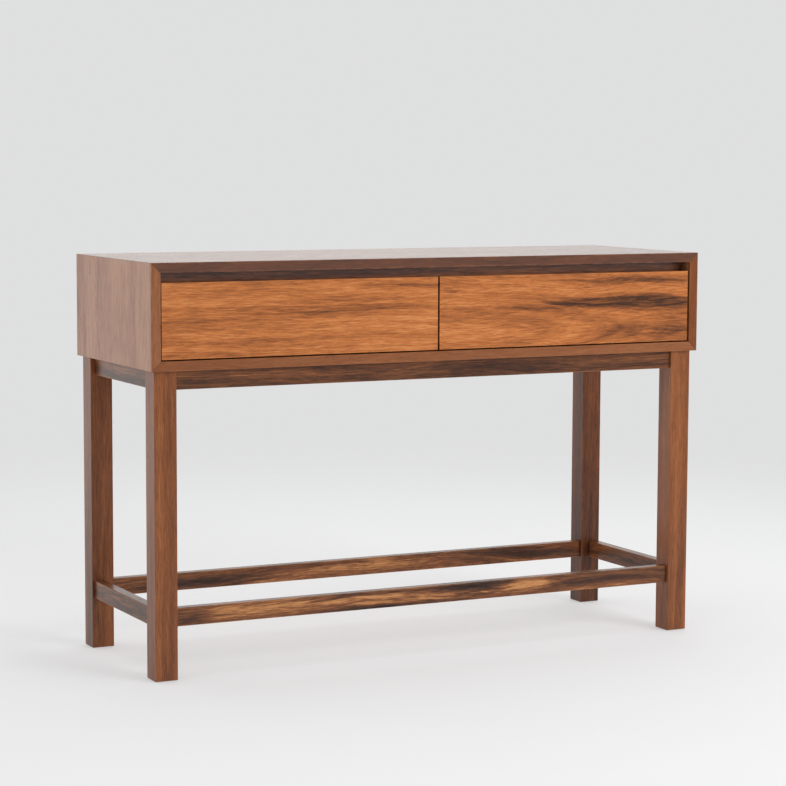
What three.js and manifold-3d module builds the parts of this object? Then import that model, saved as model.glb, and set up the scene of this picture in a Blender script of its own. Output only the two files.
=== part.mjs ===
// Console table: a mitred case with two drawers, bolted onto a mortise-and-tenon base frame.
// Millimetres, +Z up. The origin is on the floor under the middle of the case.
// The drawers open towards -Y.
import * as THREE from "three";
import { mergeVertices } from "three/addons/utils/BufferGeometryUtils.js";
import Module from "manifold-3d";

const wasm = await Module();
wasm.setup();

// ---- Driving dimensions ----
const CASE_WIDTH = 1200;
const CASE_DEPTH = 412;
const TOTAL_HEIGHT = 788;
const CASE_HEIGHT = 202;
const PANEL = 19; // thickness of the case's top, bottom, sides and divider
const GLUE_LINE = 0.1; // gap between two faces that are glued or bolted together
const OVERCUT = 1; // how far a cutting shape runs past the face that it opens
const HARDWARE_CHAMFER = 1; // on the heads of bolts and screws and the rims of the glides
const ROUND_SEGMENTS = 24;
const MERGE_TOLERANCE = 1e-4;

const LEG = 45; // square section
const SIDE_OVERHANG = 9; // case past the legs at each end
const FRONT_OVERHANG = 11;
const REAR_OVERHANG = 8;

const RAIL_THICK = 20; // aprons and stretchers
const APRON_HEIGHT = 36;
const APRON_SETBACK = 6; // front and rear aprons behind the legs' outer faces
const END_APRON_SETBACK = 10;
const STRETCHER_HEIGHT = 35;
const STRETCHER_BOTTOM = 102; // above the floor
const STRETCHER_SETBACK = 7; // front and rear stretchers behind the front face of their own legs
const END_STRETCHER_SETBACK = 5;

const TENON_THICK = 10;
const TENON_WALL = 2; // wood left in a leg between the ends of one tenon and the side of the next
const TENON_LENGTH =
  LEG - Math.max(APRON_SETBACK, END_APRON_SETBACK) - (RAIL_THICK + TENON_THICK) / 2 - TENON_WALL;
const TENON_SHOULDER = 6; // above and below each tenon
const MORTISE_CLEARANCE = 0.2; // round the tenon
const MORTISE_EXTRA = 1.5; // depth past the tenon's end

const GLIDE_RADIUS = 10;
const GLIDE_PROUD = 1; // how far the glides lift the legs off the floor
const GLIDE_LET_IN = 3;
const GLIDE_PIN_RADIUS = 1.5;
const GLIDE_PIN_LENGTH = 14;
const BORE_CLEARANCE = 0.3; // radial, round pins, bolts and screws

const BLOCK_REACH = 66; // how far a corner block runs along each apron
const BLOCK_NOSE = 9; // its thickness at the far ends
const BLOCK_HEIGHT = 25;
const BOLT_RADIUS = 3;
const BOLT_HEAD_RADIUS = 6.5;
const BOLT_HEAD_HEIGHT = 3.5;
const BOLT_IN_CASE = 12; // thread length inside the case bottom
const BOLT_INSET = 16; // from the inner corner of the leg, along X and along Y

const BACK_PANEL = 6;
const BACK_RABBET = 9; // width of the step that the back panel lies in
const BACK_INSET = 2; // outer face of the back panel in from the case's rear edges
const PANEL_CLEARANCE = 0.5; // round a panel that floats in a rabbet or groove
const DIVIDER_HOUSING = 5; // depth of the grooves that hold the divider
const FINGER_RAIL_THICK = 19;
const FINGER_RAIL_HEIGHT = 29;
const FINGER_ROOM = 9; // between the drawer fronts and the finger rail

const FRONT_THICK = 20; // drawer fronts
const FRONT_RECESS = 3; // behind the case's front edges
const FINGER_GAP = 18.5; // above the drawer fronts
const GAP_END = 2.5; // drawer front to case side
const GAP_MIDDLE = 3.5; // between the two fronts
const GAP_BELOW = 2.5;
const PULL_LAND = 9; // top edge left by the finger bevel behind it
const PULL_DEPTH = 18; // height of the finger bevel

const BOX_THICK = 12; // drawer box sides, front and back
const BEHIND_BOX = 31; // room between the box and the back panel
const BOX_LIFT = 13; // box above the case bottom
const BOX_UNDER_RAIL = 4; // box below the finger rail
const BOTTOM_THICK = 6;
const BOTTOM_LIFT = 8; // bottom panel above the box's lower edge
const GROOVE = 6; // depth of the groove that the bottom panel lies in
const GROOVE_CLEARANCE = 0.25;
const SCREW_RADIUS = 2;
const SCREW_HEAD_RADIUS = 4;
const SCREW_HEAD_HEIGHT = 2.2;
const SCREW_LENGTH = 26;
const SCREW_POINT = 4; // length of its tapered tip
const SCREW_FROM_END = 90;

const SLIDE_THICK = 12.75; // room that one ball-bearing slide takes beside the box
const SLIDE_HEIGHT = 45;
const SLIDE_START = 4; // behind the drawer front
const SLIDE_PAST_BOX = 4; // behind the box
const SLIDE_STEEL = 1.2;
const SLIDE_BALL_GAP = 2.8; // between the nested channels, where the balls run
const SLIDE_LIP = 1.6; // each flange stops this far short of the facing web

// ---- Places worked out from them ----
const HALF_WIDTH = CASE_WIDTH / 2;
const FRONT = -CASE_DEPTH / 2;
const REAR = CASE_DEPTH / 2;
const CASE_BOTTOM = TOTAL_HEIGHT - CASE_HEIGHT;
const INNER_BOTTOM = CASE_BOTTOM + PANEL;
const INNER_TOP = TOTAL_HEIGHT - PANEL;
const INNER_SIDE = HALF_WIDTH - PANEL; // inner face of each case side, from the middle

const LEG_OUTER_X = HALF_WIDTH - SIDE_OVERHANG;
const LEG_INNER_X = LEG_OUTER_X - LEG;
const LEG_TOP = CASE_BOTTOM - GLUE_LINE;
const LEG_Y = { front: FRONT + FRONT_OVERHANG + LEG / 2, rear: REAR - REAR_OVERHANG - LEG / 2 };
const LEG_X = { left: -LEG_OUTER_X + LEG / 2, right: LEG_OUTER_X - LEG / 2 };
const OUTWARD = { left: -1, right: 1, front: -1, rear: 1 };

const APRON_Z = CASE_BOTTOM - GLUE_LINE - APRON_HEIGHT / 2;
const STRETCHER_Z = STRETCHER_BOTTOM + STRETCHER_HEIGHT / 2;
const APRON_Y = {
  front: LEG_Y.front - LEG / 2 + APRON_SETBACK + RAIL_THICK / 2,
  rear: LEG_Y.rear + LEG / 2 - APRON_SETBACK - RAIL_THICK / 2,
};
const STRETCHER_Y = {
  front: LEG_Y.front - LEG / 2 + STRETCHER_SETBACK + RAIL_THICK / 2,
  rear: LEG_Y.rear - LEG / 2 + STRETCHER_SETBACK + RAIL_THICK / 2,
};
const END_APRON_X = LEG_OUTER_X - END_APRON_SETBACK - RAIL_THICK / 2;
const END_STRETCHER_X = LEG_OUTER_X - END_STRETCHER_SETBACK - RAIL_THICK / 2;

const BACK_FACE = REAR - BACK_INSET - BACK_PANEL; // inner face of the back panel
const FRONT_FACE = FRONT + FRONT_RECESS; // outer face of the drawer fronts
const FRONT_BACK = FRONT_FACE + FRONT_THICK;
const FRONT_TOP = INNER_TOP - FINGER_GAP;
const FRONT_BOTTOM = INNER_BOTTOM + GAP_BELOW;
const RAIL_FACE = FRONT_BACK + FINGER_ROOM;
const RAIL_BACK = RAIL_FACE + FINGER_RAIL_THICK;
const RAIL_BOTTOM = INNER_TOP - FINGER_RAIL_HEIGHT;
const DIVIDER_FRONT = FRONT_BACK + SLIDE_START / 2;

const BOX_BOTTOM = INNER_BOTTOM + BOX_LIFT;
const BOX_TOP = RAIL_BOTTOM - BOX_UNDER_RAIL;
const BOX_FRONT = FRONT_BACK + GLUE_LINE;
const BOX_BACK = BACK_FACE - BEHIND_BOX;
const BAY_INNER = PANEL / 2; // the divider's face, from the middle
const BOX_OUTER = { far: INNER_SIDE - SLIDE_THICK, near: BAY_INNER + SLIDE_THICK };
const SLIDE_Z = (BOX_BOTTOM + BOX_TOP) / 2;

// ---- Materials ----
const finish = (color, roughness, metalness = 0) =>
  new THREE.MeshStandardMaterial({ color, roughness, metalness });
const MATERIAL = {
  case: finish(0x87573c, 0.42),
  front: finish(0xb8703f, 0.42),
  base: finish(0x7a4a32, 0.45),
  inside: finish(0xc9a97c, 0.6),
  hidden: finish(0x8a6a4c, 0.7),
  steel: finish(0xb9bcc0, 0.35, 1),
  nylon: finish(0x35322f, 0.6),
};

// ---- Helpers ----
const group = new THREE.Group();

function add(name, geometry, material, x = 0, y = 0, z = 0) {
  const mesh = new THREE.Mesh(geometry, material);
  mesh.name = name;
  mesh.position.set(x, y, z);
  group.add(mesh);
}

// A box given by its low and high value along each axis.
function box(x0, x1, y0, y1, z0, z1) {
  return new THREE.BoxGeometry(x1 - x0, y1 - y0, z1 - z0)
    .translate((x0 + x1) / 2, (y0 + y1) / 2, (z0 + z1) / 2);
}

function shape(points) {
  return new THREE.Shape(points.map(([u, v]) => new THREE.Vector2(u, v)));
}

// An outline in X and Y, extruded up from z0 to z1.
function prismZ(points, z0, z1) {
  const options = { depth: z1 - z0, bevelEnabled: false };
  return new THREE.ExtrudeGeometry(shape(points), options).translate(0, 0, z0);
}

// An outline in X and Z, extruded from y0 back to y1.
function prismY(points, y0, y1) {
  const options = { depth: y1 - y0, bevelEnabled: false };
  return new THREE.ExtrudeGeometry(shape(points), options).rotateX(Math.PI / 2).translate(0, y1, 0);
}

// An outline in Y and Z, extruded from x0 to x1.
function prismX(points, x0, x1) {
  const options = { depth: x1 - x0, bevelEnabled: false };
  return new THREE.ExtrudeGeometry(shape(points), options)
    .rotateX(Math.PI / 2)
    .rotateZ(Math.PI / 2)
    .translate(x0, 0, 0);
}

// A turned piece or round hole along +Z, from a list of [radius, z] that starts and ends on the axis.
function turned(profile) {
  const points = profile.map(([r, z]) => new THREE.Vector2(r, z));
  return new THREE.LatheGeometry(points, ROUND_SEGMENTS).rotateX(Math.PI / 2);
}

function rod(radius, z0, z1) {
  return turned([[0, z0], [radius, z0], [radius, z1], [0, z1]]);
}

function toSolid(geometry) {
  const bare = geometry.clone();
  bare.deleteAttribute("normal");
  bare.deleteAttribute("uv");
  const merged = mergeVertices(bare, MERGE_TOLERANCE);
  return new wasm.Manifold(
    new wasm.Mesh({
      numProp: 3,
      vertProperties: new Float32Array(merged.attributes.position.array),
      triVerts: new Uint32Array(merged.index.array),
    }),
  );
}

function toGeometry(solid) {
  const mesh = solid.getMesh();
  const geometry = new THREE.BufferGeometry();
  geometry.setAttribute("position", new THREE.BufferAttribute(mesh.vertProperties, 3));
  geometry.setIndex(new THREE.BufferAttribute(mesh.triVerts, 1));
  geometry.computeVertexNormals();
  return geometry;
}

const cut = (body, ...tools) =>
  toGeometry(tools.reduce((solid, tool) => solid.subtract(toSolid(tool)), toSolid(body)));
const join = (body, ...more) =>
  toGeometry(more.reduce((solid, piece) => solid.add(toSolid(piece)), toSolid(body)));

// ---- Base frame ----
// A rail between two legs, centred on its own origin and running along X or Y, with a tenon at each end.
function tenonedRail(length, height, alongY) {
  const half = length / 2 - GLUE_LINE;
  const tenonHalf = half + TENON_LENGTH;
  const tenonZ = height / 2 - TENON_SHOULDER;
  const rail = join(
    box(-half, half, -RAIL_THICK / 2, RAIL_THICK / 2, -height / 2, height / 2),
    box(-tenonHalf, tenonHalf, -TENON_THICK / 2, TENON_THICK / 2, -tenonZ, tenonZ),
  );
  return alongY ? rail.rotateZ(Math.PI / 2) : rail;
}

// The mortise for one tenon in a leg whose axis is its own origin. The tenon comes in along X or Y from the
// leg's inner face, with its centre line at the given offset and height.
function mortise(height, inward, offset, z, alongY) {
  const open = LEG / 2 + OVERCUT;
  const end = LEG / 2 - TENON_LENGTH - MORTISE_EXTRA;
  const [low, high] = inward > 0 ? [end, open] : [-open, -end];
  const wide = TENON_THICK / 2 + MORTISE_CLEARANCE;
  const tall = height / 2 - TENON_SHOULDER + MORTISE_CLEARANCE;
  return alongY
    ? box(offset - wide, offset + wide, low, high, z - tall, z + tall)
    : box(low, high, offset - wide, offset + wide, z - tall, z + tall);
}

const glide = turned([
  [0, 0],
  [GLIDE_RADIUS - HARDWARE_CHAMFER, 0],
  [GLIDE_RADIUS, HARDWARE_CHAMFER],
  [GLIDE_RADIUS, GLIDE_PROUD + GLIDE_LET_IN],
  [GLIDE_PIN_RADIUS, GLIDE_PROUD + GLIDE_LET_IN],
  [GLIDE_PIN_RADIUS, GLIDE_PIN_LENGTH],
  [0, GLIDE_PIN_LENGTH + GLIDE_PIN_RADIUS],
]);
const glideBore = rod(GLIDE_RADIUS + BORE_CLEARANCE, 0, GLIDE_PROUD + GLIDE_LET_IN + BORE_CLEARANCE);
const glidePinBore = rod(
  GLIDE_PIN_RADIUS + BORE_CLEARANCE, 0, GLIDE_PIN_LENGTH + GLIDE_PIN_RADIUS + BORE_CLEARANCE,
);

// The bolt's head hangs under the corner block and its shank runs up into the case bottom.
const bolt = turned([
  [0, -BOLT_HEAD_HEIGHT],
  [BOLT_HEAD_RADIUS - HARDWARE_CHAMFER, -BOLT_HEAD_HEIGHT],
  [BOLT_HEAD_RADIUS, HARDWARE_CHAMFER - BOLT_HEAD_HEIGHT],
  [BOLT_HEAD_RADIUS, 0],
  [BOLT_RADIUS, 0],
  [BOLT_RADIUS, BLOCK_HEIGHT + BOLT_IN_CASE],
  [0, BLOCK_HEIGHT + BOLT_IN_CASE + HARDWARE_CHAMFER],
]);
const BLOCK_BOTTOM = CASE_BOTTOM - GLUE_LINE - BLOCK_HEIGHT;
const BOLT_BORE = BOLT_RADIUS + BORE_CLEARANCE;

// Distance between the leg's inner corner and the aprons' inner faces, along Y and X.
const APRON_STEP_Y = {
  front: LEG_Y.front + LEG / 2 - (APRON_Y.front + RAIL_THICK / 2),
  rear: APRON_Y.rear - RAIL_THICK / 2 - (LEG_Y.rear - LEG / 2),
};
const APRON_STEP_X = END_APRON_X - RAIL_THICK / 2 - LEG_INNER_X;

const boltCentres = [];
for (const end of ["left", "right"]) {
  for (const row of ["front", "rear"]) {
    const x = LEG_X[end];
    const y = LEG_Y[row];
    const inX = -OUTWARD[end];
    const inY = -OUTWARD[row];
    const body = box(-LEG / 2, LEG / 2, -LEG / 2, LEG / 2, GLIDE_PROUD, LEG_TOP);
    const leg = cut(
      body,
      mortise(APRON_HEIGHT, inX, APRON_Y[row] - y, APRON_Z, false),
      mortise(APRON_HEIGHT, inY, inX * (Math.abs(x) - END_APRON_X), APRON_Z, true),
      mortise(STRETCHER_HEIGHT, inX, STRETCHER_Y[row] - y, STRETCHER_Z, false),
      mortise(STRETCHER_HEIGHT, inY, inX * (Math.abs(x) - END_STRETCHER_X), STRETCHER_Z, true),
      glideBore,
      glidePinBore,
    );
    add(`${row}_${end}_leg`, leg, MATERIAL.base, x, y, 0);
    add(`${row}_${end}_floor_glide`, glide.clone(), MATERIAL.nylon, x, y, 0);

    // Corner block: wraps the leg's inner corner and lies on both aprons.
    // It is drawn from that corner, then mirrored.
    const g = GLUE_LINE;
    const stepX = APRON_STEP_X - g;
    const stepY = APRON_STEP_Y[row] - g;
    const outline = [
      [-stepX, g],
      [g, g],
      [g, -stepY],
      [BLOCK_REACH, -stepY],
      [BLOCK_REACH, BLOCK_NOSE - stepY],
      [BLOCK_NOSE - stepX, BLOCK_REACH],
      [-stepX, BLOCK_REACH],
    ].map(([u, v]) => [inX * u, inY * v]);
    const cornerX = x + (inX * LEG) / 2;
    const cornerY = y + (inY * LEG) / 2;
    const boltU = inX * BOLT_INSET;
    const boltV = inY * BOLT_INSET;
    const block = cut(
      prismZ(inX * inY > 0 ? outline : outline.reverse(), 0, BLOCK_HEIGHT),
      rod(BOLT_BORE, -OVERCUT, BLOCK_HEIGHT + OVERCUT).translate(boltU, boltV, 0),
    );
    add(`${row}_${end}_corner_block`, block, MATERIAL.hidden, cornerX, cornerY, BLOCK_BOTTOM);
    const boltX = cornerX + boltU;
    const boltY = cornerY + boltV;
    add(`${row}_${end}_case_bolt`, bolt.clone(), MATERIAL.steel, boltX, boltY, BLOCK_BOTTOM - GLUE_LINE);
    boltCentres.push([boltX, boltY]);
  }
}

const LONG_SPAN = 2 * LEG_INNER_X;
const SHORT_SPAN = LEG_Y.rear - LEG_Y.front - LEG;
const MIDDLE_Y = (LEG_Y.front + LEG_Y.rear) / 2;
for (const row of ["front", "rear"]) {
  add(`${row}_apron`, tenonedRail(LONG_SPAN, APRON_HEIGHT, false), MATERIAL.base, 0, APRON_Y[row], APRON_Z);
  const stretcher = tenonedRail(LONG_SPAN, STRETCHER_HEIGHT, false);
  add(`${row}_stretcher`, stretcher, MATERIAL.base, 0, STRETCHER_Y[row], STRETCHER_Z);
}
for (const end of ["left", "right"]) {
  const side = OUTWARD[end];
  const apron = tenonedRail(SHORT_SPAN, APRON_HEIGHT, true);
  const stretcher = tenonedRail(SHORT_SPAN, STRETCHER_HEIGHT, true);
  add(`${end}_apron`, apron, MATERIAL.base, side * END_APRON_X, MIDDLE_Y, APRON_Z);
  add(`${end}_stretcher`, stretcher, MATERIAL.base, side * END_STRETCHER_X, MIDDLE_Y, STRETCHER_Z);
}

// ---- Case ----
// The four panels meet in mitres. Each gives up half the glue line, measured across the 45 degree face.
const MITRE = GLUE_LINE / Math.SQRT2;
const backRabbet = box(
  -INNER_SIDE - BACK_RABBET, INNER_SIDE + BACK_RABBET,
  BACK_FACE, REAR + OVERCUT,
  INNER_BOTTOM - BACK_RABBET, INNER_TOP + BACK_RABBET,
);
const housing = (z0, z1) =>
  box(
    -PANEL / 2 - MORTISE_CLEARANCE, PANEL / 2 + MORTISE_CLEARANCE,
    DIVIDER_FRONT - MORTISE_CLEARANCE, BACK_FACE + OVERCUT, z0, z1,
  );

const flatPanel = (outer, inner) =>
  prismY([
    [-HALF_WIDTH + MITRE, outer],
    [-INNER_SIDE + MITRE, inner],
    [INNER_SIDE - MITRE, inner],
    [HALF_WIDTH - MITRE, outer],
  ], FRONT, REAR);
add(
  "case_top",
  cut(
    flatPanel(TOTAL_HEIGHT, INNER_TOP),
    backRabbet,
    housing(INNER_TOP - OVERCUT, INNER_TOP + DIVIDER_HOUSING + MORTISE_CLEARANCE),
  ),
  MATERIAL.case,
);
add(
  "case_bottom",
  cut(
    // drawn the other way round, because its outer face looks down
    prismY([
      [HALF_WIDTH - MITRE, CASE_BOTTOM],
      [INNER_SIDE - MITRE, INNER_BOTTOM],
      [-INNER_SIDE + MITRE, INNER_BOTTOM],
      [-HALF_WIDTH + MITRE, CASE_BOTTOM],
    ], FRONT, REAR),
    backRabbet,
    housing(INNER_BOTTOM - DIVIDER_HOUSING - MORTISE_CLEARANCE, INNER_BOTTOM + OVERCUT),
    ...boltCentres.map(([x, y]) =>
      rod(BOLT_BORE, CASE_BOTTOM - OVERCUT, CASE_BOTTOM + BOLT_IN_CASE + 2 * OVERCUT).translate(x, y, 0)),
  ),
  MATERIAL.case,
);
for (const end of ["left", "right"]) {
  const side = OUTWARD[end];
  const outline = [
    [side * HALF_WIDTH, CASE_BOTTOM + MITRE],
    [side * HALF_WIDTH, TOTAL_HEIGHT - MITRE],
    [side * INNER_SIDE, INNER_TOP - MITRE],
    [side * INNER_SIDE, INNER_BOTTOM + MITRE],
  ];
  const panel = prismY(side > 0 ? outline : outline.reverse(), FRONT, REAR);
  add(`case_${end}_side`, cut(panel, backRabbet), MATERIAL.case);
}
const backHalf = INNER_SIDE + BACK_RABBET - PANEL_CLEARANCE;
add(
  "case_back",
  box(
    -backHalf, backHalf, BACK_FACE + GLUE_LINE, BACK_FACE + BACK_PANEL,
    INNER_BOTTOM - BACK_RABBET + PANEL_CLEARANCE, INNER_TOP + BACK_RABBET - PANEL_CLEARANCE,
  ),
  MATERIAL.hidden,
);
// The divider is let into the top and bottom, and notched at its front corner for the finger rail.
const notchBack = RAIL_BACK + GLUE_LINE;
const notchBottom = RAIL_BOTTOM - GLUE_LINE;
add(
  "case_divider",
  prismX([
    [DIVIDER_FRONT, INNER_BOTTOM - DIVIDER_HOUSING],
    [BACK_FACE, INNER_BOTTOM - DIVIDER_HOUSING],
    [BACK_FACE, INNER_TOP + DIVIDER_HOUSING],
    [notchBack, INNER_TOP + DIVIDER_HOUSING],
    [notchBack, notchBottom],
    [DIVIDER_FRONT, notchBottom],
  ], -PANEL / 2, PANEL / 2),
  MATERIAL.inside,
);
add(
  "finger_rail",
  box(
    -INNER_SIDE + GLUE_LINE, INNER_SIDE - GLUE_LINE, RAIL_FACE, RAIL_BACK,
    RAIL_BOTTOM, INNER_TOP - GLUE_LINE,
  ),
  MATERIAL.case,
);

// ---- Drawers and slides ----
const screw = turned([
  [0, -SCREW_HEAD_HEIGHT],
  [SCREW_HEAD_RADIUS - HARDWARE_CHAMFER, -SCREW_HEAD_HEIGHT],
  [SCREW_HEAD_RADIUS, HARDWARE_CHAMFER - SCREW_HEAD_HEIGHT],
  [SCREW_HEAD_RADIUS, 0],
  [SCREW_RADIUS, 0],
  [SCREW_RADIUS, SCREW_LENGTH - SCREW_POINT],
  [0, SCREW_LENGTH],
]).rotateX(Math.PI / 2); // points towards -Y, from inside the box into the front

// A folded steel channel: web on the far side from its opening, two flanges. Outline in X and Z about its own
// centre height; the web's outer face is at webX and the flanges end at tipX.
function channel(webX, tipX, halfHeight, y0, y1) {
  const s = SLIDE_STEEL * Math.sign(tipX - webX);
  const outline = [
    [webX, -halfHeight],
    [tipX, -halfHeight],
    [tipX, -halfHeight + SLIDE_STEEL],
    [webX + s, -halfHeight + SLIDE_STEEL],
    [webX + s, halfHeight - SLIDE_STEEL],
    [tipX, halfHeight - SLIDE_STEEL],
    [tipX, halfHeight],
    [webX, halfHeight],
  ];
  return prismY(s > 0 ? outline : outline.reverse(), y0, y1);
}

for (const end of ["left", "right"]) {
  const side = OUTWARD[end];
  // low and high X of something given by its distances from the middle of the case
  const span = (near, far) => (side > 0 ? [near, far] : [-far, -near]);
  const name = (piece) => `${end}_drawer_${piece}`;

  const [frontLow, frontHigh] = span(GAP_MIDDLE / 2, INNER_SIDE - GAP_END);
  const [boxLow, boxHigh] = span(BOX_OUTER.near, BOX_OUTER.far);
  const inLow = boxLow + BOX_THICK + GLUE_LINE;
  const inHigh = boxHigh - BOX_THICK - GLUE_LINE;
  const floorZ = BOX_BOTTOM + BOTTOM_LIFT;
  const groove = box(
    boxLow + BOX_THICK - GROOVE, boxHigh - BOX_THICK + GROOVE,
    BOX_FRONT + BOX_THICK - GROOVE, BOX_BACK - BOX_THICK + GROOVE,
    floorZ - GROOVE_CLEARANCE, floorZ + BOTTOM_THICK + GROOVE_CLEARANCE,
  );
  const screwX = [frontLow + SCREW_FROM_END, frontHigh - SCREW_FROM_END];
  const screwY = BOX_FRONT + BOX_THICK + GLUE_LINE;
  const screwHoles = screwX.map((x) =>
    rod(SCREW_RADIUS + BORE_CLEARANCE, -OVERCUT, SCREW_LENGTH + OVERCUT)
      .rotateX(Math.PI / 2)
      .translate(x, screwY, SLIDE_Z));

  add(
    name("front"),
    cut(
      prismX([
        [FRONT_FACE, FRONT_BOTTOM],
        [FRONT_BACK, FRONT_BOTTOM],
        [FRONT_BACK, FRONT_TOP - PULL_DEPTH],
        [FRONT_FACE + PULL_LAND, FRONT_TOP],
        [FRONT_FACE, FRONT_TOP],
      ], frontLow, frontHigh),
      ...screwHoles,
    ),
    MATERIAL.front,
  );
  add(
    name("box_front"),
    cut(box(inLow, inHigh, BOX_FRONT, BOX_FRONT + BOX_THICK, BOX_BOTTOM, BOX_TOP), groove, ...screwHoles),
    MATERIAL.inside,
  );
  add(
    name("box_back"),
    cut(box(inLow, inHigh, BOX_BACK - BOX_THICK, BOX_BACK, BOX_BOTTOM, BOX_TOP), groove),
    MATERIAL.inside,
  );
  add(
    name("box_left_side"),
    cut(box(boxLow, boxLow + BOX_THICK, BOX_FRONT, BOX_BACK, BOX_BOTTOM, BOX_TOP), groove),
    MATERIAL.inside,
  );
  add(
    name("box_right_side"),
    cut(box(boxHigh - BOX_THICK, boxHigh, BOX_FRONT, BOX_BACK, BOX_BOTTOM, BOX_TOP), groove),
    MATERIAL.inside,
  );
  const slack = BOX_THICK - GROOVE + PANEL_CLEARANCE;
  add(
    name("bottom"),
    box(
      boxLow + slack, boxHigh - slack, BOX_FRONT + slack, BOX_BACK - slack, floorZ, floorZ + BOTTOM_THICK,
    ),
    MATERIAL.inside,
  );
  screwX.forEach((x, i) => {
    add(name(`front_screw_${i + 1}`), screw.clone(), MATERIAL.steel, x, screwY, SLIDE_Z);
  });

  // Three nested channels each side of the box: one on the case, one on the box, one that runs between.
  for (const flank of ["left", "right"]) {
    const towardsBox = flank === "left" ? 1 : -1;
    const boxFace = flank === "left" ? boxLow : boxHigh;
    const at = (distance) => boxFace - towardsBox * (SLIDE_THICK - distance); // from the case's face
    const y0 = FRONT_BACK + SLIDE_START;
    const y1 = BOX_BACK + SLIDE_PAST_BOX;
    const middleWeb = SLIDE_STEEL + SLIDE_LIP;
    const halves = [0, 1, 2].map((n) => SLIDE_HEIGHT / 2 - n * (SLIDE_STEEL + SLIDE_BALL_GAP));
    const boxWeb = SLIDE_THICK - GLUE_LINE;
    const tip = boxWeb - SLIDE_LIP;
    const boxTip = middleWeb + SLIDE_STEEL + SLIDE_LIP;
    const members = [
      ["case_rail", GLUE_LINE, tip],
      ["middle_rail", middleWeb, tip],
      ["box_rail", boxWeb, boxTip],
    ];
    members.forEach(([member, webAt, tipAt], n) => {
      const rail = channel(at(webAt), at(tipAt), halves[n], y0, y1);
      add(name(`slide_${flank}_${member}`), rail, MATERIAL.steel, 0, 0, SLIDE_Z);
    });
  }
}

export default group;
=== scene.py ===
"""Looks for a walnut console table: solid-wood grain on every board, steel slides, soft studio light."""

import math
from dataclasses import dataclass, replace

import bmesh
import bpy
from mathutils import Matrix, Vector


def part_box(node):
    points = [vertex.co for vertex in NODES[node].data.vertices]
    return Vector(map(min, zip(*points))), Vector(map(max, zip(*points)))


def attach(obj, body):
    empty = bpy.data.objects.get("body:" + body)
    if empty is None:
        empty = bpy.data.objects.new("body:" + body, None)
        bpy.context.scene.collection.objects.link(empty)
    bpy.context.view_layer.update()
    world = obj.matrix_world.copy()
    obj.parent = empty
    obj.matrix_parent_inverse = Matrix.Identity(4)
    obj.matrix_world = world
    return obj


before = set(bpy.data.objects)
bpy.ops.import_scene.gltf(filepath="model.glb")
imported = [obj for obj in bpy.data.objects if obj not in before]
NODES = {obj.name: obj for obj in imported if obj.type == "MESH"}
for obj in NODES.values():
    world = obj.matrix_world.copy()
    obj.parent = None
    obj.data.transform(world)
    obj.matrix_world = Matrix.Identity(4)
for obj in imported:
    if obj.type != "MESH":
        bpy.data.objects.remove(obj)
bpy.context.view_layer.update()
ENDS = ("left", "right")
ROWS = ("front", "rear")

# ---- Camera ----
CAMERA_PLACE = (-2.1939, -4.3726, 1.0019)
CAMERA_YAW = math.radians(-26.67)
CAMERA_TILT = math.radians(-5.816)
CAMERA_ROLL = math.radians(0.227)
SENSOR_MM = 36.0
LENS_MM = 110.66

# ---- Studio ----
BACKDROP = (0.74, 0.742, 0.745)  # what the camera sees behind the table
ROOM_BEHIND = (1.16, 1.15, 1.14)  # light from the white wall behind the table
ROOM_BEFORE = (0.56, 0.56, 0.57)  # light from the darker side, where the camera stands
ROOM_TURN = (-0.7, 0.8)  # Y of the directions between which one changes into the other
CEILING = 0.62  # share of the walls' light that comes from straight above
CEILING_START = 0.15  # Z of the direction where the light begins to fall off
FLOOR_COLOUR = (0.6, 0.608, 0.614)
FLOOR_MOTTLE = 0.985  # the darker places of the faint mottling, as a share of the floor's colour
FLOOR_MOTTLE_SCALE = 3.0
FLOOR_ROUGHNESS = 0.85
FLOOR_SHINE = 0.2
FLOOR_GLOW = 0.37  # a little light of the floor's own, which keeps the shadows pale
FLOOR_RADIUS = 16.0
FLOOR_SIDES = 96
FLOOR_FADE = (1.1, 3.4)  # the floor melts into the backdrop between these distances
LIGHTS = {
    # name: (place, target, size, watts)
    "overhead": ((1.2, 0.2, 3.4), (0.0, 0.0, 0.4), 3.0, 7.0),
    "key": ((2.2, -4.2, 2.0), (0.1, 0.0, 0.55), 2.4, 105.0),
}

# ---- Wood colours ----
# Linear colours from the palest wood to the darkest, and the tones they stand at.
DRAWER_TONES = ((0.73, 0.305, 0.105), (0.55, 0.178, 0.046), (0.3, 0.094, 0.027), (0.06, 0.024, 0.012))
CASE_TONES = ((0.385, 0.148, 0.06), (0.26, 0.089, 0.032), (0.14, 0.045, 0.018), (0.034, 0.014, 0.009))
# The side boards' tones are paler than the case's: a painted sheen, the reflection of the bright room on the
# side faces.
SIDE_SHEEN_TONES = ((0.48, 0.23, 0.11), (0.37, 0.155, 0.07), (0.23, 0.06, 0.008), (0.08, 0.024, 0.006))
BASE_TONES = ((0.385, 0.137, 0.05), (0.248, 0.081, 0.026), (0.132, 0.043, 0.017), (0.03, 0.012, 0.008))
RAIL_TONES = ((0.56, 0.25, 0.09), (0.225, 0.08, 0.03), (0.076, 0.03, 0.016), (0.015, 0.008, 0.006))
PALE_TONES = ((0.68, 0.49, 0.3), (0.6, 0.41, 0.24), (0.52, 0.335, 0.185), (0.38, 0.215, 0.105))
BLOCK_TONES = ((0.42, 0.27, 0.16), (0.33, 0.2, 0.11), (0.25, 0.14, 0.075), (0.16, 0.085, 0.045))
TONE_STOPS = (0.2, 0.46, 0.7, 0.98)
MIDDLE_TONE = 0.5

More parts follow.
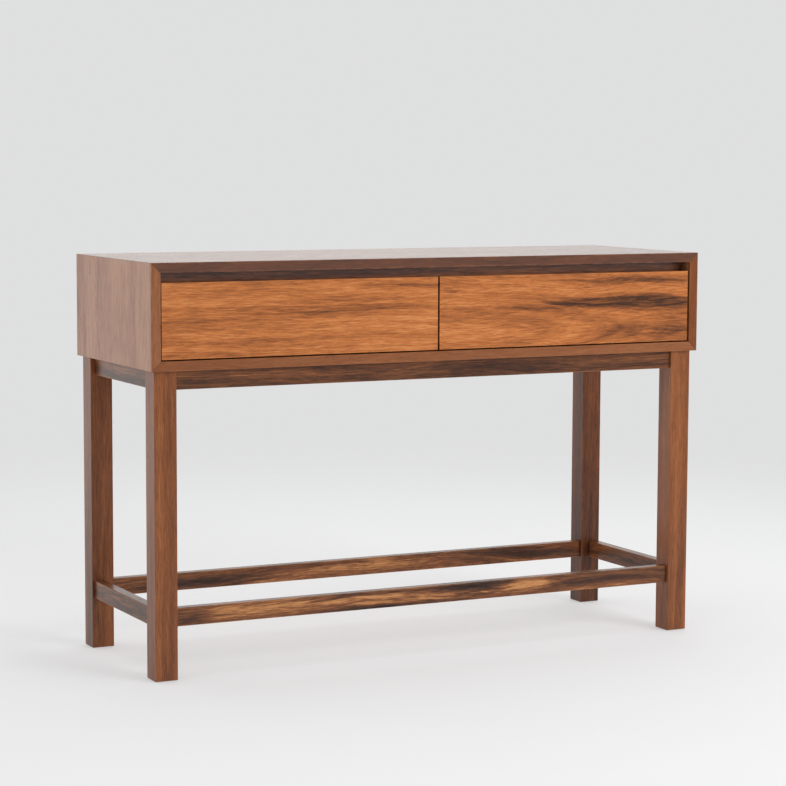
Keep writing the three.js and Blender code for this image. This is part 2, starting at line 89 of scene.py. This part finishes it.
# ---- Wood grain ----
# Each noise: how fast it changes per metre along and across the grain, its detail and its roughness.
BROAD = (2.0, 15.0, 2.0, 0.5)
STREAK = (11.0, 190.0, 4.0, 0.65)
THREAD = (26.0, 430.0, 2.0, 0.6)
FIBRE = (50.0, 900.0, 3.0, 0.6)
PORE = (75.0, 1500.0, 1.0, 0.5)
RINGS = (1.3, 1.0, 6.0, 0.66)  # across is counted in ring widths
# How strongly each one changes the tone.
RING_WEIGHT = 1.25
BROAD_WEIGHT = 0.45
STREAK_WEIGHT = 0.55
THREAD_WEIGHT = 0.85
FIBRE_WEIGHT = 0.5
SWAY_SCALE = (2.6, 8.0, 8.0)
PIECE_SHIFT = 3.7  # metres along the log between the places that two boards are cut from
PIECE_TURN = ((0.9, 5.1), (0.7, 3.3))  # across the log: reach, and turn for each board
PORE_EDGE = (0.58, 0.72)  # noise values between which a pore opens
PORE_DARKNESS = 0.4
PATCH_EDGE = (0.2, 1.3)  # a patch is full inside the first share of its reach and gone past the second
PATCH_RAGGEDNESS = 2.2
PATCH_FEATHER = (0.36, 0.6, 0.25, 1.0)  # the rings break a patch up: ring value from, to, and share from, to
FRONT_EDGE = (0.001, 0.007)  # depth over which the front edge of a case board, with its painted tone, fades into the faces
FRONT_PAINTED_SHARE = 0.6  # share of the way from the board's tone to the painted front tone, the painted light and shade of the edge
END_GRAIN_DEPTH = 0.0008
END_GRAIN_AND_GAP_SHADE = 0.3  # the ends of a board drink in more finish; the amount is also painted shade in the narrow gaps where board ends show

# Where each kind of board starts its run of places in the log.
CASE_SEED = 1
LEG_SEED = 10
APRON_SEED = 20
STRETCHER_SEED = 25
CORNER_BLOCK_SEED = 40
DRAWER_FRONT_SEED = 60
BOX_BOARD_SEED = 64
BOX_BOTTOM_SEED = 80

# ---- Wood surface ----
WEAR_DEPTH = (0.0004, 0.0028)  # from an edge: full wear, and none
WEAR_SCALE = 35.0
WEAR_DETAIL = 3.0
WEAR_PATCHES = (0.35, 0.7)  # noise values between which an edge is unworn and worn
WEAR_SHARE = 0.35
STREAK_ROUGHNESS = 0.1
PATCHY_ROUGHNESS = 0.08
WORN_ROUGHNESS = 0.3
FIBRE_HEIGHT = 0.5
PORE_HEIGHT = -1.0
RING_HEIGHT = 0.3
WOOD_BUMP = 0.0001
BUMP_STRENGTH = 0.5
EASED_EDGE = 0.0009
CASE_EASED_EDGE = 0.0005
SMALL_EASED_EDGE = 0.0003
EASED_SEGMENTS = 2
EASED_ANGLE = math.radians(30)
WELD = 1e-6

# ---- Steel and nylon ----
SLIDE_STEEL = ((0.62, 0.64, 0.67), 0.28)  # colour and roughness
SCREW_STEEL = ((0.6, 0.58, 0.5), 0.32)
CAGE_STEEL = ((0.5, 0.5, 0.51), 0.22)
STEEL_DARKER = 0.72  # the darker places, as a share of the colour
DRAWN_SCALE = (2500.0, 12.0, 2500.0)
DRAWN_WEIGHT = 0.35
SPANGLE_SCALE = 140.0
SPANGLE_WEIGHT = 0.65
MARKS_SCALE = 30.0
MARKS_EDGE = (0.45, 0.75)
MARKS_ROUGHNESS = 0.15
STEEL_BUMP = 0.00003
MOTTLE_STOPS = (0.3, 0.7)  # noise values of the two colours of a mottled surface
NYLON_COLOUR = (0.03, 0.028, 0.026)
NYLON_ROUGHNESS = 0.5
NYLON_GRAIN_SCALE = 900.0
NYLON_BUMP = 0.00005
SCUFF_SCALE = 220.0
SCUFF_EDGE = (0.5, 0.8)
SCUFF_PALER = 1.8
SCUFF_ROUGHNESS = 0.2

# ---- Figure, and painted shade on the legs ----
# Patches of the figure: centre, reach along each axis, and how much darker (or paler, below 0) the middle is.
STRETCHER_PATCHES = {
    "front": (
        ((-0.36, -0.18, 0.121), (0.24, 0.05, 0.014), -0.26),
        ((-0.08, -0.18, 0.119), (0.16, 0.05, 0.013), -0.34),
        ((0.21, -0.18, 0.124), (0.08, 0.05, 0.016), -0.5),
        ((0.10, -0.18, 0.131), (0.12, 0.05, 0.008), 0.4),
        ((-0.3, -0.18, 0.104), (0.4, 0.05, 0.006), 0.4),
        ((-0.52, -0.18, 0.12), (0.05, 0.05, 0.03), 0.25),
        ((0.36, -0.18, 0.118), (0.14, 0.05, 0.012), 0.22),
    ),
    "rear": (
        ((-0.3, 0.17, 0.115), (0.3, 0.05, 0.012), 0.3),
        ((-0.12, 0.17, 0.12), (0.2, 0.05, 0.01), -0.2),
        ((0.05, 0.17, 0.128), (0.05, 0.05, 0.01), -0.25),
        ((0.3, 0.17, 0.12), (0.25, 0.05, 0.02), 0.2),
    ),
    "left": (),
    "right": (),
}
DRAWER_PATCHES = {
    "left": (
        ((-0.2, -0.2, 0.69), (0.2, 0.05, 0.014), 0.16),
        ((-0.44, -0.2, 0.70), (0.14, 0.05, 0.008), 0.14),
        ((-0.05, -0.2, 0.735), (0.12, 0.05, 0.012), 0.2),
    ),
    "right": (
        ((0.27, -0.2, 0.687), (0.13, 0.05, 0.010), 0.36),
        ((0.47, -0.2, 0.692), (0.17, 0.05, 0.020), 0.38),
        ((0.49, -0.2, 0.628), (0.17, 0.05, 0.022), 0.3),
        ((0.45, -0.2, 0.735), (0.18, 0.05, 0.012), 0.26),
        ((0.06, -0.2, 0.705), (0.10, 0.05, 0.02), -0.1),
    ),
}
# Painted shade at the foot of each leg, darkest at the floor and fading up the leg.
FOOT_SHADE_REACH = (0.2, 0.2, 0.34)
FOOT_PAINTED_SHADE = 0.15
# Painted shade on each leg for how the light reaches it: the rear legs darker, in the shade of the case, the
# front legs a little paler to make up for the painted shade at their feet.
LEG_PAINTED_SHADE = {
    ("front", "left"): -0.05,
    ("front", "right"): -0.06,
    ("rear", "left"): 0.03,
    ("rear", "right"): 0.18,
}
STRETCHER_DARKER = {"front": 0.05, "rear": 0.0, "left": 0.13, "right": 0.02}

# ---- Ball cages of the drawer slides ----
RAIL_STEEL = 0.0012
CAGE_THICK = 0.0005
CAGE_LENGTH = 0.145
CAGE_INSET = 0.009  # from the end of the middle rail
CAGE_WEB_GAP = 0.001  # from the rail that the cage wraps
CAGE_TIP_GAP = 0.0015
BALL_RADIUS = 0.0012
BALL_SPACING = 0.0075
BALL_DIVISIONS = 2


@dataclass(frozen=True)
class Cut:
    """How a board lies in its log, and how it is finished."""

    tones: tuple
    heart: tuple = (0.06, 0.04)  # across the grain, from the middle of the tree to the board's centre
    ring_width: float = 0.012
    lean: float = 0.02  # how fast the rings run out of the board along its length
    waver: float = 0.025  # how far the grain wanders sideways
    contrast: float = 1.0  # of the rings
    fine: float = 1.0  # contrast of the streaks, threads and fibres
    darker: float = 0.0
    patches: tuple = ()
    painted_front_tone: float | None = None  # even tone of the front edge, where the board has one: painted light and shade, as the edge catches the light differently from the faces
    roughness: float = 0.3
    shine: float = 0.3


CASE_TOP = Cut(
    CASE_TONES, heart=(0.03, 0.09), ring_width=0.02, lean=0.05, waver=0.04, darker=0.06, painted_front_tone=0.86,
    roughness=0.24, shine=0.65,
)
CASE_BOTTOM = Cut(CASE_TONES, painted_front_tone=0.37)
# Both side boards take the paler side tones, a painted sheen; their front edges keep a darker even tone of
# their own.
CASE_LEFT_SIDE = Cut(
    SIDE_SHEEN_TONES, heart=(0.02, 0.3), ring_width=0.03, lean=0.03, waver=0.05, contrast=0.9, fine=0.85,
    painted_front_tone=0.68, shine=0.5,
)
CASE_RIGHT_SIDE = replace(CASE_LEFT_SIDE, painted_front_tone=0.95)
CASE_BACK = Cut(CASE_TONES, heart=(0.02, 0.03), ring_width=0.02, lean=0.05, waver=0.05)
# Darker than the case: painted shade in the finger gap, where the rail shows.
FINGER_RAIL = Cut(CASE_TONES, darker=0.17, shine=0.7)
# Darker than the case: painted shade in the narrow gap between the drawers, where only the divider shows.
DIVIDER = Cut(CASE_TONES, darker=0.28)
LEG = Cut(BASE_TONES, heart=(0.1, 0.12), ring_width=0.018, lean=0.01, waver=0.02, contrast=0.5, fine=0.62)
APRON = Cut(RAIL_TONES, contrast=1.15, fine=0.6, darker=0.06)
STRETCHER = Cut(RAIL_TONES, heart=(0.01, 0.02), ring_width=0.02, lean=0.04, waver=0.04, fine=0.7)
CORNER_BLOCK = Cut(BLOCK_TONES, roughness=0.6)
DRAWER_FRONTS = {
    "left": Cut(
        DRAWER_TONES, heart=(0.05, 0.25), ring_width=0.016, lean=0.01, waver=0.02, contrast=0.62, fine=0.82,
        patches=DRAWER_PATCHES["left"],
    ),
    "right": Cut(
        DRAWER_TONES, heart=(0.05, 0.04), ring_width=0.02, lean=0.1, waver=0.05, contrast=0.7, fine=0.82,
        darker=0.03, patches=DRAWER_PATCHES["right"],
    ),
}
BOX_BOARD = Cut(PALE_TONES, contrast=0.7, roughness=0.5)
BOX_BOTTOM = Cut(PALE_TONES, ring_width=0.03, contrast=0.7, roughness=0.5)


class Graph:
    """A material's or a world's nodes."""

    def __init__(self, tree):
        self.tree = tree

    def node(self, kind, inputs=(), **settings):
        made = self.tree.nodes.new(kind)
        for key, value in settings.items():
            setattr(made, key, value)
        for key, value in dict(inputs).items():
            self.feed(made.inputs[key], value)
        return made

    def feed(self, socket, value):
        if isinstance(value, bpy.types.NodeSocket):
            self.tree.links.new(value, socket)
        else:
            socket.default_value = value

    def surface(self, name, value):
        self.feed(self.tree.nodes["Principled BSDF"].inputs[name], value)

    def place(self):
        """The point on the surface, in metres. Each mesh holds the model's own coordinates."""
        return self.node("ShaderNodeTexCoord").outputs["Object"]

    def split(self, vector):
        return self.node("ShaderNodeSeparateXYZ", {0: vector}).outputs

    def math(self, operation, a, b=0.0):
        return self.node("ShaderNodeMath", {0: a, 1: b}, operation=operation).outputs[0]

    def add_scaled(self, total, terms):
        """Adds each term times its weight to a total."""
        for value, weight in terms:
            total = self.math("ADD", total, self.math("MULTIPLY", value, weight))
        return total

    def vector(self, operation, a, b=(0, 0, 0)):
        made = self.node("ShaderNodeVectorMath", {0: a, 1: b}, operation=operation)
        return made.outputs["Value" if operation == "LENGTH" else "Vector"]

    def noise(self, place, scale, detail=2.0, roughness=0.5):
        spread = self.vector("MULTIPLY", place, scale)
        settings = {"Vector": spread, "Scale": 1.0, "Detail": detail, "Roughness": roughness}
        return self.node("ShaderNodeTexNoise", settings).outputs[0]

    def even_noise(self, place, scale, detail):
        return self.noise(place, (scale, scale, scale), detail)

    def grain_noise(self, log, grain):
        along, across, detail, roughness = grain
        return self.noise(log, (along, across, across), detail, roughness)

    def rescale(self, value, low, high, to_low=0.0, to_high=1.0, kind="SMOOTHSTEP"):
        inputs = {0: value, 1: low, 2: high, 3: to_low, 4: to_high}
        return self.node("ShaderNodeMapRange", inputs, interpolation_type=kind).outputs[0]

    def ramp(self, value, stops, colours):
        made = self.node("ShaderNodeValToRGB", {0: value})
        elements = made.color_ramp.elements
        while len(elements) < len(stops):
            elements.new(0.5)
        for element, stop, colour in zip(elements, stops, colours):
            element.position = stop
            element.color = (*colour, 1.0)
        return made.outputs[0]

    def mix(self, share, a, b):
        made = self.node("ShaderNodeMix", data_type="RGBA")
        self.feed(made.inputs[0], share)
        self.feed(made.inputs[6], a)
        self.feed(made.inputs[7], b)
        return made.outputs[2]

    def bump(self, height, depth):
        inputs = {"Strength": BUMP_STRENGTH, "Distance": depth, "Height": height}
        self.surface("Normal", self.node("ShaderNodeBump", inputs).outputs[0])


def new_material(name):
    material = bpy.data.materials.new(name)
    material.use_nodes = True
    return material, Graph(material.node_tree)


def edge_distance(g, place, low, high):
    """Distance from a point on a board's face to the nearest edge: the middle one of its three depths."""
    centre = (low + high) / 2
    half = (high - low) / 2
    away = g.vector("ABSOLUTE", g.vector("SUBTRACT", place, tuple(centre)))
    x, y, z = g.split(g.vector("SUBTRACT", tuple(half), away))
    smaller = g.math("MINIMUM", x, y)
    larger = g.math("MAXIMUM", x, y)
    return g.math("MAXIMUM", smaller, g.math("MINIMUM", larger, z))


def along_grain(g, place, centre, grain):
    """Coordinates from a board's own centre, with the grain along the first axis."""
    turn = {"X": (0, 0, 0), "Y": (0, 0, -math.pi / 2), "Z": (0, math.pi / 2, 0)}[grain]
    local = g.vector("SUBTRACT", place, tuple(centre))
    return g.node("ShaderNodeMapping", {"Vector": local, "Rotation": turn}).outputs[0]


def place_in_log(g, board, seed):
    """Moves a board to its own place in the log, so no two boards show the same figure."""
    (reach_v, turn_v), (reach_w, turn_w) = PIECE_TURN
    shift = (PIECE_SHIFT * seed, reach_v * math.sin(turn_v * seed), reach_w * math.cos(turn_w * seed))
    return g.vector("ADD", board, shift)


def grain_sway(g, log, waver):
    """How far the grain wanders sideways along the log."""
    drift = g.node("ShaderNodeTexNoise", {"Vector": g.vector("MULTIPLY", log, SWAY_SCALE), "Scale": 1.0})
    centred = g.vector("SUBTRACT", drift.outputs["Color"], (0.5, 0.5, 0.5))
    return g.vector("MULTIPLY", centred, (0, waver, waver))


def growth_figure(g, swayed, log, cut):
    """Bands of uneven width that follow the growth rings round a heart that leans across the board."""
    u, v, w = g.split(swayed)
    v = g.math("ADD", g.math("ADD", v, cut.heart[0]), g.math("MULTIPLY", u, cut.lean))
    w = g.math("ADD", w, cut.heart[1])
    radius = g.math("SQRT", g.math("ADD", g.math("MULTIPLY", v, v), g.math("MULTIPLY", w, w)))
    rings = {0: g.split(log)[0], 1: g.math("DIVIDE", radius, cut.ring_width)}
    return g.grain_noise(g.node("ShaderNodeCombineXYZ", rings).outputs[0], RINGS)


def figure_patch(g, place, centre, reach, ragged):
    """1 at the centre of a long soft patch of the figure, and 0 outside it."""
    inverse = tuple(1.0 / r for r in reach)
    away = g.vector("LENGTH", g.vector("MULTIPLY", g.vector("SUBTRACT", place, centre), inverse))
    return g.rescale(g.math("ADD", away, ragged), *PATCH_EDGE, 1.0, 0.0)


def end_grain(g, board, length):
    """Darkening of the two sawn ends of a board: end grain that takes more finish, and painted shade in the
    gaps where these ends show.
    """
    along = g.math("ABSOLUTE", g.split(board)[0])
    start = length / 2 - END_GRAIN_DEPTH
    full = length / 2 - END_GRAIN_DEPTH / 4
    return g.rescale(along, start, full, 0.0, END_GRAIN_AND_GAP_SHADE)


def paint_front_edge(g, place, front, tone, painted_front_tone):
    """Evens out the figure on the front edge of a case board with a tone of its own: painted light and shade,
    as the edge catches the light differently from its faces.
    """
    near = g.rescale(g.split(place)[1], front + FRONT_EDGE[0], front + FRONT_EDGE[1], FRONT_PAINTED_SHARE, 0.0)
    return g.math("ADD", tone, g.math("MULTIPLY", near, g.math("SUBTRACT", painted_front_tone, tone)))


def board_figure(g, board, seed, cut):
    """The noises that make up the figure of one board."""
    log = place_in_log(g, board, seed)
    sway = grain_sway(g, log, cut.waver)
    grown = g.vector("ADD", log, sway)
    return {
        "rings": growth_figure(g, g.vector("ADD", board, sway), log, cut),
        "broad": g.grain_noise(log, BROAD),
        "streak": g.grain_noise(grown, STREAK),
        "thread": g.grain_noise(grown, THREAD),
        "fibre": g.grain_noise(grown, FIBRE),
        "pore": g.rescale(g.grain_noise(grown, PORE), *PORE_EDGE),
    }


def figure_tone(g, figure, cut):
    """How dark the figure makes each point of a board."""
    weights = {
        "rings": RING_WEIGHT * cut.contrast,
        "broad": BROAD_WEIGHT,
        "streak": STREAK_WEIGHT * cut.fine,
        "thread": THREAD_WEIGHT * cut.fine,
        "fibre": FIBRE_WEIGHT * cut.fine,
    }
    swings = [(g.math("SUBTRACT", figure[name], 0.5), weight) for name, weight in weights.items()]
    return g.add_scaled(g.math("ADD", cut.darker, MIDDLE_TONE), swings)


def add_patches(g, place, figure, tone, patches):
    """Darkens or pales the tone in soft patches, which the streaks and rings break up."""
    ragged = g.math("MULTIPLY", g.math("SUBTRACT", figure["streak"], 0.5), PATCH_RAGGEDNESS)
    feather = g.rescale(figure["rings"], *PATCH_FEATHER)
    for centre, reach, amount in patches:
        patch = g.math("MULTIPLY", figure_patch(g, place, centre, reach, ragged), feather)
        tone = g.add_scaled(tone, [(patch, amount)])
    return tone


def finish_wood(g, figure, tone, patchy, worn, cut):
    """Colour, polish and relief. Worn edges show the palest wood, and pores the darkest."""
    colour = g.ramp(tone, TONE_STOPS, cut.tones)
    colour = g.mix(g.math("MULTIPLY", figure["pore"], PORE_DARKNESS), colour, (*cut.tones[-1], 1.0))
    g.surface("Base Color", g.mix(worn, colour, (*cut.tones[0], 1.0)))
    g.surface("Specular IOR Level", cut.shine)
    smoothest = cut.roughness - (STREAK_ROUGHNESS + PATCHY_ROUGHNESS) / 2
    rough = ((figure["streak"], STREAK_ROUGHNESS), (patchy, PATCHY_ROUGHNESS), (worn, WORN_ROUGHNESS))
    g.surface("Roughness", g.add_scaled(smoothest, rough))
    relief = ((figure["fibre"], FIBRE_HEIGHT), (figure["pore"], PORE_HEIGHT), (figure["rings"], RING_HEIGHT))
    g.bump(g.add_scaled(0.0, relief), WOOD_BUMP)


def wood(name, node, grain, seed, cut):
    """Solid wood, cut from a log that lies along the grain."""
    material, g = new_material(name)
    low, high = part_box(node)
    axis = "XYZ".index(grain)
    place = g.place()
    board = along_grain(g, place, (low + high) / 2, grain)
    figure = board_figure(g, board, seed, cut)
    tone = add_patches(g, place, figure, figure_tone(g, figure, cut), cut.patches)
    tone = g.math("ADD", tone, end_grain(g, board, high[axis] - low[axis]))
    # Painted light and shade on the front edge of a case board.
    if cut.painted_front_tone is not None:
        tone = paint_front_edge(g, place, low.y, tone, cut.painted_front_tone)
    patchy = g.even_noise(place, WEAR_SCALE, WEAR_DETAIL)
    rubbed = g.rescale(edge_distance(g, place, low, high), *WEAR_DEPTH, 1.0, 0.0)
    worn = g.math("MULTIPLY", g.math("MULTIPLY", rubbed, g.rescale(patchy, *WEAR_PATCHES)), WEAR_SHARE)
    finish_wood(g, figure, tone, patchy, worn, cut)
    return material


def steel(name, colour, roughness):
    """Zinc-plated steel, drawn lengthways, with faint spangle and handling marks."""
    material, g = new_material(name)
    place = g.place()
    drawn = g.noise(place, DRAWN_SCALE)
    spangle = g.even_noise(place, SPANGLE_SCALE, 3.0)
    marks = g.rescale(g.even_noise(place, MARKS_SCALE, 4.0), *MARKS_EDGE)
    tone = g.add_scaled(0.0, ((drawn, DRAWN_WEIGHT), (spangle, SPANGLE_WEIGHT)))
    darker = tuple(STEEL_DARKER * c for c in colour)
    g.surface("Base Color", g.ramp(tone, MOTTLE_STOPS, (darker, colour)))
    g.surface("Metallic", 1.0)
    g.surface("Roughness", g.add_scaled(roughness, [(marks, MARKS_ROUGHNESS)]))
    g.bump(drawn, STEEL_BUMP)
    return material


def nylon(name):
    """Moulded nylon, dulled where it rubs the floor."""
    material, g = new_material(name)
    place = g.place()
    grain = g.even_noise(place, NYLON_GRAIN_SCALE, 2.0)
    scuff = g.rescale(g.even_noise(place, SCUFF_SCALE, 4.0), *SCUFF_EDGE)
    paler = tuple(SCUFF_PALER * c for c in NYLON_COLOUR)
    g.surface("Base Color", g.mix(scuff, (*NYLON_COLOUR, 1.0), (*paler, 1.0)))
    g.surface("Roughness", g.add_scaled(NYLON_ROUGHNESS, [(scuff, SCUFF_ROUGHNESS)]))
    g.bump(grain, NYLON_BUMP)
    return material


def matt_floor(name):
    """Pale matt floor with faint mottling, which melts into the backdrop far from the table."""
    material, g = new_material(name)
    place = g.place()
    mottle = g.even_noise(place, FLOOR_MOTTLE_SCALE, 3.0)
    darker = tuple(FLOOR_MOTTLE * c for c in FLOOR_COLOUR)
    g.surface("Base Color", g.ramp(mottle, MOTTLE_STOPS, (darker, FLOOR_COLOUR)))
    g.surface("Roughness", FLOOR_ROUGHNESS)
    g.surface("Specular IOR Level", FLOOR_SHINE)
    g.surface("Emission Color", (1.0, 1.0, 1.0, 1.0))
    g.surface("Emission Strength", FLOOR_GLOW)
    g.surface("Alpha", g.rescale(g.vector("LENGTH", place), *FLOOR_FADE, 1.0, 0.0))
    return material


def add_object(name, data):
    made = bpy.data.objects.new(name, data)
    bpy.context.scene.collection.objects.link(made)
    return made


def add_mesh(name, shape, material):
    """A new object from a finished bmesh."""
    mesh = bpy.data.meshes.new(name)
    shape.to_mesh(mesh)
    shape.free()
    mesh.materials.append(material)
    return add_object(name, mesh)


def make_camera():
    data = bpy.data.cameras.new("camera")
    data.sensor_width = SENSOR_MM
    data.lens = LENS_MM
    camera = add_object("camera", data)
    turn = (
        Matrix.Rotation(CAMERA_YAW, 4, "Z")
        @ Matrix.Rotation(math.pi / 2 + CAMERA_TILT, 4, "X")
        @ Matrix.Rotation(CAMERA_ROLL, 4, "Z")
    )
    camera.matrix_world = Matrix.Translation(CAMERA_PLACE) @ turn
    bpy.context.scene.camera = camera


def make_world():
    """The camera sees an even backdrop. The light is brighter from the wall behind than from before."""
    world = bpy.data.worlds.new("studio")
    world.use_nodes = True
    g = Graph(world.node_tree)
    direction = g.split(g.node("ShaderNodeTexCoord").outputs["Generated"])
    share = g.rescale(direction[1], *ROOM_TURN, kind="LINEAR")
    room = g.mix(share, (*ROOM_BEFORE, 1.0), (*ROOM_BEHIND, 1.0))
    height = g.rescale(direction[2], CEILING_START, 1.0, 1.0, CEILING, kind="LINEAR")
    dimmed = g.node("ShaderNodeVectorMath", {0: room, "Scale": height}, operation="SCALE").outputs[0]
    camera_ray = g.node("ShaderNodeLightPath").outputs["Is Camera Ray"]
    seen = g.mix(camera_ray, dimmed, (*BACKDROP, 1.0))
    g.feed(world.node_tree.nodes["Background"].inputs["Color"], seen)
    bpy.context.scene.world = world


def make_lights():
    """Soft boxes that light the table but leave no mirror image of themselves on the polished top."""
    for name, (place, target, size, watts) in LIGHTS.items():
        data = bpy.data.lights.new(name, "AREA")
        data.size = size
        data.energy = watts
        lamp = add_object(name, data)
        lamp.location = place
        lamp.visible_glossy = False
        lamp.rotation_mode = "QUATERNION"
        lamp.rotation_quaternion = (Vector(target) - Vector(place)).to_track_quat("-Z", "Y")


def make_floor():
    shape = bmesh.new()
    bmesh.ops.create_circle(shape, cap_ends=True, segments=FLOOR_SIDES, radius=FLOOR_RADIUS)
    floor = add_mesh("floor", shape, matt_floor("floor"))


def dress(node, material, eased):
    """Gives a CAD piece its material and eases its edges."""
    piece = NODES[node]
    for held in piece.material_slots:
        held.material = material
    weld = piece.modifiers.new("weld", "WELD")
    weld.merge_threshold = WELD
    bevel = piece.modifiers.new("eased_edges", "BEVEL")
    bevel.width = eased
    bevel.segments = EASED_SEGMENTS
    bevel.limit_method = "ANGLE"
    bevel.angle_limit = EASED_ANGLE


def dress_board(kind, node, grain, seed, cut, eased=EASED_EDGE):
    """Each board has its own seed, which is its place in the log."""
    dress(node, wood(f"{kind}_{node}", node, grain, seed, cut), eased)


def dress_case():
    boards = (
        # node, material, grain, cut, eased edge
        ("case_top", "walnut_case_top", "X", CASE_TOP, CASE_EASED_EDGE),
        ("case_bottom", "walnut_case_bottom", "X", CASE_BOTTOM, CASE_EASED_EDGE),
        ("case_left_side", "walnut_case_left_side", "Z", CASE_LEFT_SIDE, CASE_EASED_EDGE),
        ("case_right_side", "walnut_case_right_side", "Z", CASE_RIGHT_SIDE, CASE_EASED_EDGE),
        ("finger_rail", "walnut_finger_rail", "X", FINGER_RAIL, EASED_EDGE),
        ("case_divider", "walnut_divider", "Y", DIVIDER, EASED_EDGE),
        ("case_back", "walnut_back", "X", CASE_BACK, EASED_EDGE),
    )
    for seed, (node, name, grain, cut, eased) in enumerate(boards, CASE_SEED):
        dress(node, wood(name, node, grain, seed, cut), eased)


def dress_leg(row, end, seed):
    node = f"{row}_{end}_leg"
    low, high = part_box(node)
    foot = ((low.x + high.x) / 2, (low.y + high.y) / 2, low.z)
    # Painted shade: each leg's tone for how the light reaches it, and a patch of painted shade at its foot.
    cut = replace(LEG, darker=LEG_PAINTED_SHADE[row, end], patches=((foot, FOOT_SHADE_REACH, FOOT_PAINTED_SHADE),))
    dress_board("walnut", node, "Z", seed, cut)


def dress_base():
    corners = [(row, end) for row in ROWS for end in ENDS]
    for turn, (row, end) in enumerate(corners):
        dress_leg(row, end, LEG_SEED + turn)
        block = f"{row}_{end}_corner_block"
        dress_board("hardwood", block, "X", CORNER_BLOCK_SEED + turn, CORNER_BLOCK, SMALL_EASED_EDGE)
    for turn, side in enumerate(ROWS + ENDS):
        grain = "X" if side in ROWS else "Y"
        dress_board("walnut", f"{side}_apron", grain, APRON_SEED + turn, APRON)
        cut = replace(STRETCHER, darker=STRETCHER_DARKER[side], patches=STRETCHER_PATCHES[side])
        dress_board("walnut", f"{side}_stretcher", grain, STRETCHER_SEED + turn, cut)


def dress_drawers():
    """The two drawers take turns along the log, so each kind of box board has two seeds."""
    box_boards = (("box_front", "X"), ("box_back", "X"), ("box_left_side", "Y"), ("box_right_side", "Y"))
    for turn, end in enumerate(ENDS):
        drawer = f"{end}_drawer"
        cut = DRAWER_FRONTS[end]
        dress_board("walnut", f"{drawer}_front", "X", DRAWER_FRONT_SEED + turn, cut, CASE_EASED_EDGE)
        for kind, (board, grain) in enumerate(box_boards):
            seed = BOX_BOARD_SEED + len(ENDS) * kind + turn
            dress_board("pale", f"{drawer}_{board}", grain, seed, BOX_BOARD, SMALL_EASED_EDGE)
        dress_board("ply", f"{drawer}_bottom", "X", BOX_BOTTOM_SEED + turn, BOX_BOTTOM, SMALL_EASED_EDGE)


def dress_hardware():
    slide_steel = steel("zinc_slide_steel", *SLIDE_STEEL)
    screw_steel = steel("zinc_screw_steel", *SCREW_STEEL)
    glide_nylon = nylon("glide_nylon")
    for name in NODES:
        if "_slide_" in name:
            dress(name, slide_steel, SMALL_EASED_EDGE)
        elif "_screw_" in name or name.endswith("_bolt"):
            dress(name, screw_steel, SMALL_EASED_EDGE)
        elif name.endswith("_glide"):
            dress(name, glide_nylon, SMALL_EASED_EDGE)


def folded_strip(shape, web_x, tip_x, middle_z, half_height, y0, y1):
    """A steel strip folded into a web and two lips: outline in X and Z, length along Y."""
    inward = math.copysign(CAGE_THICK, tip_x - web_x)
    outer = half_height + CAGE_THICK / 2
    inner = half_height - CAGE_THICK / 2
    outline = [(web_x, -outer), (tip_x, -outer), (tip_x, -inner), (web_x + inward, -inner)]
    outline += [(x, -z) for x, z in reversed(outline)]
    section = shape.faces.new([shape.verts.new((x, y0, middle_z + z)) for x, z in outline])
    swept = bmesh.ops.extrude_face_region(shape, geom=[section])["geom"]
    far_end = [part for part in swept if isinstance(part, bmesh.types.BMVert)]
    bmesh.ops.translate(shape, vec=(0, y1 - y0, 0), verts=far_end)
    bmesh.ops.recalc_face_normals(shape, faces=shape.faces)


def ball_row(shape, x, z, y0, y1):
    """Balls at an even spacing along Y, centred between the two ends."""
    count = int((y1 - y0) / BALL_SPACING)
    first = (y0 + y1 - (count - 1) * BALL_SPACING) / 2
    for n in range(count):
        place = Matrix.Translation((x, first + n * BALL_SPACING, z))
        bmesh.ops.create_icosphere(shape, subdivisions=BALL_DIVISIONS, radius=BALL_RADIUS, matrix=place)


def ball_cage(name, web_x, tip_x, middle_z, half_height, y0, y1, material):
    """A folded strip whose two lips each hold a row of balls."""
    shape = bmesh.new()
    folded_strip(shape, web_x, tip_x, middle_z, half_height, y0, y1)
    for side in (-1, 1):
        ball_row(shape, (web_x + tip_x) / 2, middle_z + side * half_height, y0, y1)
    return add_mesh(name, shape, material)


def make_slide_cages(end, flank, material):
    """One cage between the case rail and the middle rail, at the back, and one inside the middle rail."""
    slide = f"{end}_drawer_slide_{flank}"
    case, middle, box = [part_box(f"{slide}_{member}_rail") for member in ("case", "middle", "box")]
    towards_box = math.copysign(1, (box[0].x + box[1].x) - (case[0].x + case[1].x))
    near, far = (0, 1) if towards_box > 0 else (1, 0)
    tip_x = middle[far].x - towards_box * CAGE_TIP_GAP
    middle_z = (middle[0].z + middle[1].z) / 2
    back = middle[1].y - CAGE_INSET
    front = middle[0].y + CAGE_INSET
    # Each cage: name, the rail outside it, the rail that it wraps, and its two ends.
    cages = (
        ("outer", case, middle, back - CAGE_LENGTH, back),
        ("inner", middle, box, front, front + CAGE_LENGTH),
    )
    for place, outside, wrapped, y0, y1 in cages:
        web_x = wrapped[near].x - towards_box * CAGE_WEB_GAP
        heights = (outside[1].z - outside[0].z) / 2 + (wrapped[1].z - wrapped[0].z) / 2
        half_height = (heights - RAIL_STEEL) / 2
        name = f"{slide}_{place}_ball_cage"
        piece = ball_cage(name, web_x, tip_x, middle_z, half_height, y0, y1, material)
        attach(piece, f"{end}_slide_carriage")


def make_ball_cages():
    cage_steel = steel("zinc_ball_cage", *CAGE_STEEL)
    for end in ENDS:
        for flank in ENDS:
            make_slide_cages(end, flank, cage_steel)


make_camera()
make_world()
make_lights()
make_floor()
dress_case()
dress_base()
dress_drawers()
dress_hardware()
make_ball_cages()
bpy.context.scene.view_settings.view_transform = "Standard"
